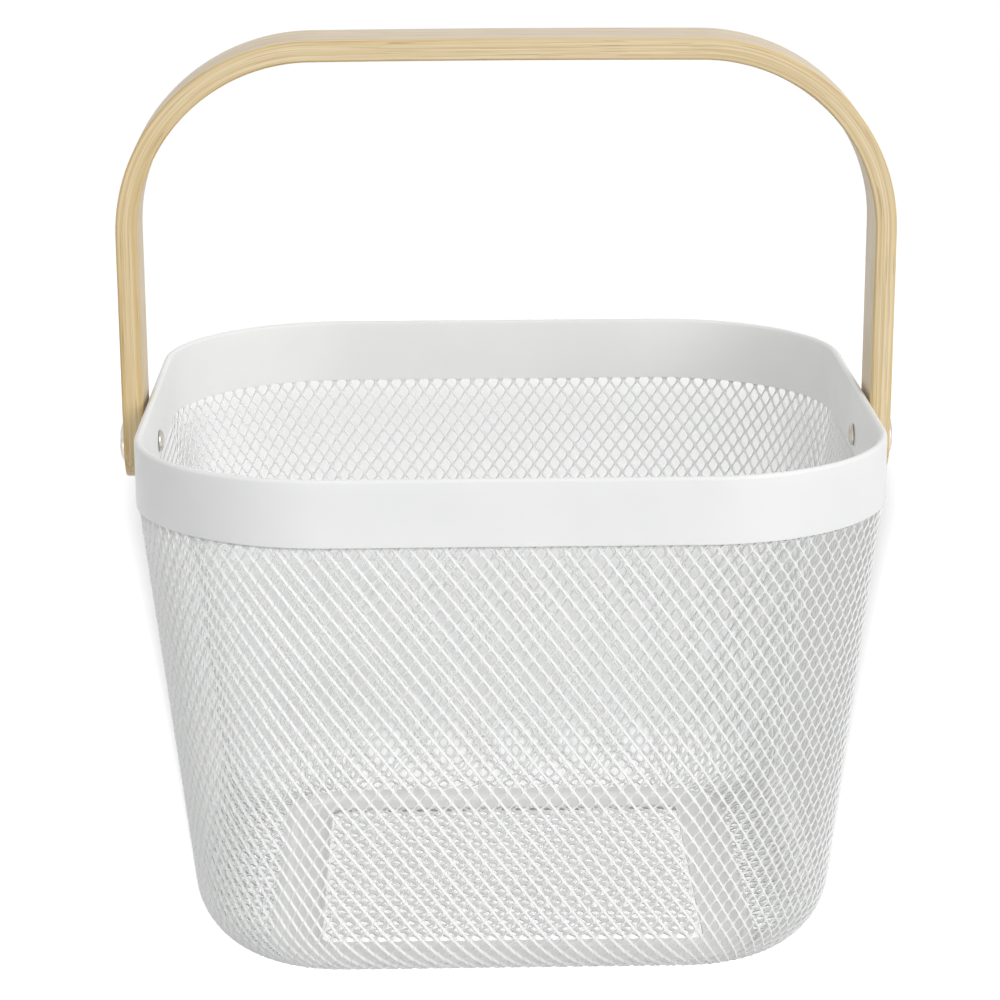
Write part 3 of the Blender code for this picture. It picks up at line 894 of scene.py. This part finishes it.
def bambooMaterial(fibreGroup, marksGroup):
    # Reads the strip's own coordinates: X along it, Y across it, Z through its thickness.
    material, tree, shader = newMaterial("laminatedBamboo")
    strip = addNode(tree, "ShaderNodeAttribute", attribute_name="strip").outputs["Vector"]
    parts = addNode(tree, "ShaderNodeSeparateXYZ", {"Vector": strip}).outputs
    grainInputs = {"Vector": strip, **bamboo["grain"]}
    grain = addNode(tree, "ShaderNodeGroup", grainInputs, node_tree=fibreGroup).outputs
    depth = mathNode(tree, "ABSOLUTE", parts["Z"])
    outerPly = spread(tree, depth, *bamboo["plyDepth"])
    flat = spread(tree, depth, *bamboo["faceDepth"])
    fibre = spread(tree, grain["Fibre"], *bamboo["fibreMask"])
    plyFibre = mathNode(tree, "MULTIPLY", fibre, bamboo["plyFibre"])
    faceFibre = mathNode(tree, "MULTIPLY", fibre, bamboo["faceFibre"])
    core = mixColour(tree, fibre, bamboo["coreDark"], bamboo["core"])
    ply = mixColour(tree, plyFibre, bamboo["ply"], bamboo["core"])
    edge = mixColour(tree, outerPly, core, ply)
    stripe = spread(tree, grain["Stripe"], *bamboo["stripeMask"])
    faceTone = mixColour(tree, stripe, bamboo["faceDark"], bamboo["face"])
    faceTone = mixColour(tree, faceFibre, faceTone, bamboo["face"])
    body = mixColour(tree, flat, edge, faceTone)
    speck = mathNode(tree, "MULTIPLY", grain["Fleck"], bamboo["fleckAmount"])
    body = mixColour(tree, speck, body, bamboo["fleck"])
    # painted shade: the left bend and leg are made darker and warmer
    left = spread(tree, parts["X"], *bamboo["leftShadeFade"])
    body = mixColour(tree, left, body, bamboo["leftShade"], "MULTIPLY")
    tree.links.new(body, shader.inputs["Base Color"])
    addMarks(tree, shader, marksGroup, bamboo["roughness"], {})
    bump(tree, shader, grain["Fibre"], *bamboo["bump"])
    return material


steel = {
    "clean": colour(208, 205, 198),
    "smudged": colour(186, 180, 168),
    "marks": {"Size": 260.0, "Amount": 0.14},
    "roughness": 0.24,
    "rings": 5200.0,          # of the turning marks, to a metre of radius
    "bump": (0.2, 0.00002),
}
nylon = {
    "clean": colour(232, 231, 226),
    "smudged": colour(222, 220, 212),
    "marks": {"Size": 300.0},
    "roughness": 0.48,
    "grain": 1400.0,
    "bump": (0.2, 0.00003),
}


def steelMaterial(marksGroup):
    # Nickel-plated rivets: fine rings from turning, by the distance from the pivot, and smudges.
    material, tree, shader = newMaterial("nickelSteel")
    parts = addNode(tree, "ShaderNodeSeparateXYZ", {"Vector": objectPlace(tree)}).outputs
    height = mathNode(tree, "SUBTRACT", parts["Z"], pivotHeight * mm)
    heightSquare = mathNode(tree, "MULTIPLY", height, height)
    depthSquare = mathNode(tree, "MULTIPLY", parts["Y"], parts["Y"])
    radius = mathNode(tree, "SQRT", mathNode(tree, "ADD", heightSquare, depthSquare))
    ringInputs = {"W": mathNode(tree, "MULTIPLY", radius, steel["rings"]), "Scale": 1.0, "Detail": 2.0}
    rings = addNode(tree, "ShaderNodeTexNoise", ringInputs, noise_dimensions="1D").outputs[0]
    mask = addMarks(tree, shader, marksGroup, steel["roughness"], steel["marks"])
    tone = mixColour(tree, mask, steel["clean"], steel["smudged"])
    tree.links.new(tone, shader.inputs["Base Color"])
    shader.inputs["Metallic"].default_value = 1.0
    bump(tree, shader, rings, *steel["bump"])
    return material


def washerMaterial(marksGroup):
    # Moulded nylon: a fine grain, and smudges.
    material, tree, shader = newMaterial("nylonWasher")
    grain = noiseNode(tree, objectPlace(tree), nylon["grain"], 2.0)
    mask = addMarks(tree, shader, marksGroup, nylon["roughness"], nylon["marks"])
    tone = mixColour(tree, mask, nylon["clean"], nylon["smudged"])
    tree.links.new(tone, shader.inputs["Base Color"])
    bump(tree, shader, grain, *nylon["bump"])
    return material


coatGroup = powderCoatGroup()
fibreGroup = grainGroup()
marksGroup = handlingGroup()
bandPaint = paintMaterial("whiteBandPaint", paint["band"], coatGroup)
meshPaint = paintMaterial("whiteMeshPaint", paint["mesh"], coatGroup)
footPaint = paintMaterial("whiteFootPaint", paint["foot"], coatGroup)
bambooLook = bambooMaterial(fibreGroup, marksGroup)
steelLook = steelMaterial(marksGroup)
washerLook = washerMaterial(marksGroup)
print("materials ready")


# Pieces

wallPieces = []
for quarter, side in enumerate(("Front", "Right", "Back", "Left")):
    openings = wallCentres(quarter)
    wall = latticeSheet(
        "meshWall" + side, openings, wallPlace, wallWidths, wallTilt, weave["base"], weave["thickness"]
    )
    wallPieces.append(addPiece(wall, meshPaint, "basket", "white_powder_coat", "mesh_body"))
print("mesh wall:", bucket["columns"] * weave["rows"] * 2, "openings")

floorMesh = latticeSheet(
    "meshFloor", floorCentres(), floorPlace, floorWidths, floorTilt, 0.0, floorWeave["thickness"]
)
addPiece(floorMesh, meshPaint, "basket", "white_powder_coat", "mesh_body")
footMesh = shellFromRings("footStrip", footRings(), foot["sheet"])
addPiece(footMesh, footPaint, "basket", "white_powder_coat", "mesh_body", sharpAngle=50)
print("mesh floor:", len(floorCentres()), "openings, and the foot strip")

bandMesh = shellFromRings("rimBand", bandRings(), band["sheet"])
addPiece(bandMesh, bandPaint, "basket", "white_powder_coat", "rim_band", sharpAngle=50)
print("rim band")

addPiece(handleMesh(), bambooLook, "handle", "bamboo", "handle", sharpAngle=50)
print("handle")

for sideName, side in (("Left", -1), ("Right", 1)):
    ending = "_" + sideName.lower()
    rivetShape = rivetMesh("rivet" + sideName, side)
    washerShape = washerMesh("washer" + sideName, side)
    addPiece(rivetShape, steelLook, "basket", "rivet_steel", "rivet" + ending)
    addPiece(washerShape, washerLook, "basket", "washer_plastic", "washer" + ending)
print("rivets and washers")


# Floor, light and camera

studio = {
    "floorRadius": 9.0,       # metres, as all lengths here are
    "floorPoints": 96,
    "floorSeen": (0.43, 0.43, 0.43, 1.0),    # the floor's colour for the camera
    "floorBounce": (0.09, 0.09, 0.09, 1.0),  # and for the light that it sends on to the basket
    "floorRoughness": 0.9,
    "floorGloss": 0.1,
    "floorLift": 0.31,        # glow for the camera, so that the far floor is white too
    "liftFade": (0.7, 3.0),   # distances from the middle between which that comes in
    "skyLeft": 0.71,          # strength of the sky from the left, and from the right
    "skyRight": 0.76,
    "skyLow": 1.18,           # share of that at the horizon, and straight above
    "skyHigh": 0.80,
    "keyFrom": (0.25, -0.28, 0.16),  # direction, with its length as the light's strength
    "keyAngle": 40.0,
    "topFrom": (0.0, -0.04, 0.04),
    "topAngle": 110.0,
    "lowFrom": (-0.024, -1.08, 0.43),  # place of a low lamp in front that lights the floor alone
    "lowRadius": 0.035,
    "lowPower": 285.0,
}


def seenDirectly(tree):
    # One for camera rays and for rays that metal or glass sends on, and nought for diffuse light.
    rays = addNode(tree, "ShaderNodeLightPath").outputs
    mirrored = mathNode(tree, "MAXIMUM", rays["Is Glossy Ray"], rays["Is Transmission Ray"])
    return mathNode(tree, "MAXIMUM", rays["Is Camera Ray"], mirrored)


def buildFloor():
    # A wide grey disc, which the low lamp lifts to white wherever the basket doesn't shade it.
    count = studio["floorPoints"]
    angle = np.linspace(0, 2 * math.pi, count, endpoint=False)
    ring = np.stack([np.cos(angle), np.sin(angle), np.zeros(count)], axis=-1) * studio["floorRadius"]
    mesh = bpy.data.meshes.new("studioFloor")
    mesh.from_pydata(ring.tolist(), [], [list(range(count))])
    material, tree, shader = newMaterial("paleFloor")
    shader.inputs["Roughness"].default_value = studio["floorRoughness"]
    shader.inputs["Specular IOR Level"].default_value = studio["floorGloss"]
    shader.inputs["Emission Color"].default_value = (1.0, 1.0, 1.0, 1.0)
    seen = seenDirectly(tree)
    tone = mixColour(tree, seen, studio["floorBounce"], studio["floorSeen"])
    tree.links.new(tone, shader.inputs["Base Color"])
    inputs = {0: objectPlace(tree)}
    distance = addNode(tree, "ShaderNodeVectorMath", inputs, operation="LENGTH").outputs["Value"]
    lift = spread(tree, distance, *studio["liftFade"], 0.0, studio["floorLift"], "LINEAR")
    tree.links.new(mathNode(tree, "MULTIPLY", seen, lift), shader.inputs["Emission Strength"])
    mesh.materials.append(material)
    floor = bpy.data.objects.new("studioFloor", mesh)
    scene.collection.objects.link(floor)
    return floor


def addSun(name, towards, angle):
    # A distant lamp with a wide disc, so that its light is soft and even over the whole floor.
    data = bpy.data.lights.new(name, "SUN")
    data.energy = Vector(towards).length * math.pi
    data.angle = math.radians(angle)
    lamp = bpy.data.objects.new(name, data)
    lamp.rotation_euler = Vector(towards).to_track_quat("Z", "Y").to_euler()
    scene.collection.objects.link(lamp)


def addLowLamp(floor, basketPieces):
    # A lamp low in front of the basket that only the floor takes light from, so that the basket's
    # soft shadow lies behind it and shows pale grey through the mesh. It doesn't fade with distance.
    data = bpy.data.lights.new("lowLamp", "POINT")
    data.energy = studio["lowPower"]
    data.shadow_soft_size = studio["lowRadius"]
    data.use_nodes = True
    tree = data.node_tree
    even = addNode(tree, "ShaderNodeLightFalloff", {"Strength": 1.0}).outputs["Constant"]
    tree.links.new(even, tree.nodes["Emission"].inputs["Strength"])
    lamp = bpy.data.objects.new("lowLamp", data)
    lamp.location = studio["lowFrom"]
    lamp.visible_camera = False
    scene.collection.objects.link(lamp)
    receivers = bpy.data.collections.new("lowLampLights")
    receivers.objects.link(floor)
    lamp.light_linking.receiver_collection = receivers
    blockers = bpy.data.collections.new("lowLampShadows")
    for piece in basketPieces:
        blockers.objects.link(piece)
    lamp.light_linking.blocker_collection = blockers


def buildLight(floor, basketPieces):
    # The camera sees a white sky, and the basket is lit by a softer one that falls off upwards.
    world = bpy.data.worlds.new("studioSky")
    scene.world = world
    world.use_nodes = True
    tree = world.node_tree
    sky = tree.nodes["Background"]
    sky.inputs["Color"].default_value = (1.0, 1.0, 1.0, 1.0)
    direction = addNode(tree, "ShaderNodeTexCoord").outputs["Generated"]
    towards = addNode(tree, "ShaderNodeSeparateXYZ", {"Vector": direction}).outputs
    across = spread(tree, towards["X"], -1.0, 1.0, studio["skyLeft"], studio["skyRight"], "LINEAR")
    rise = spread(tree, towards["Z"], 0.0, 1.0, studio["skyLow"], studio["skyHigh"], "LINEAR")
    soft = mathNode(tree, "MULTIPLY", across, rise)
    seen = seenDirectly(tree)
    hidden = mathNode(tree, "MULTIPLY", mathNode(tree, "SUBTRACT", 1.0, seen), soft)
    tree.links.new(mathNode(tree, "ADD", hidden, seen), sky.inputs["Strength"])
    addSun("keyLamp", studio["keyFrom"], studio["keyAngle"])
    addSun("topLamp", studio["topFrom"], studio["topAngle"])
    addLowLamp(floor, basketPieces)


lens = {
    "focalPixels": 3140.87,
    "distance": 1112.33,          # from the eye to the point that it aims at
    "elevation": math.radians(14.607),
    "yaw": math.radians(1.1395),
    "roll": math.radians(0.2529),
    "sideways": 2.7705,
    "aimHeight": 146.344,
    "centre": (499.246, 488.69),  # where the middle ray meets the picture, in pixels
    "pictureSize": 1000,
    "sensor": 36.0,
    "clipEnd": 100.0,
}


def buildCamera():
    # The pinhole camera that was fitted to the outline in the photograph.
    elevation = lens["elevation"]
    roll = lens["roll"]
    toWorld = Matrix.Rotation(-lens["yaw"], 3, "Z")
    forward = Vector((0, math.cos(elevation), -math.sin(elevation)))
    up = Vector((0, math.sin(elevation), math.cos(elevation)))
    right = Vector((1, 0, 0))
    rolledRight = right * math.cos(roll) - up * math.sin(roll)
    rolledUp = right * math.sin(roll) + up * math.cos(roll)
    eye = Vector((-lens["sideways"], 0, lens["aimHeight"])) - forward * lens["distance"]
    axes = Matrix((toWorld @ rolledRight, toWorld @ rolledUp, toWorld @ -forward)).transposed()
    data = bpy.data.cameras.new("camera")
    data.sensor_width = lens["sensor"]
    data.lens = lens["focalPixels"] / lens["pictureSize"] * lens["sensor"]
    data.shift_x = 0.5 - lens["centre"][0] / lens["pictureSize"]
    data.shift_y = lens["centre"][1] / lens["pictureSize"] - 0.5
    data.clip_end = lens["clipEnd"]
    camera = bpy.data.objects.new("camera", data)
    camera.matrix_world = Matrix.Translation(toWorld @ eye * mm) @ axes.to_4x4()
    scene.collection.objects.link(camera)
    scene.camera = camera


buildLight(buildFloor(), wallPieces)
buildCamera()
bpy.context.scene.camera = scene.camera
scene.view_settings.view_transform = "Standard"
print("floor, light and camera")
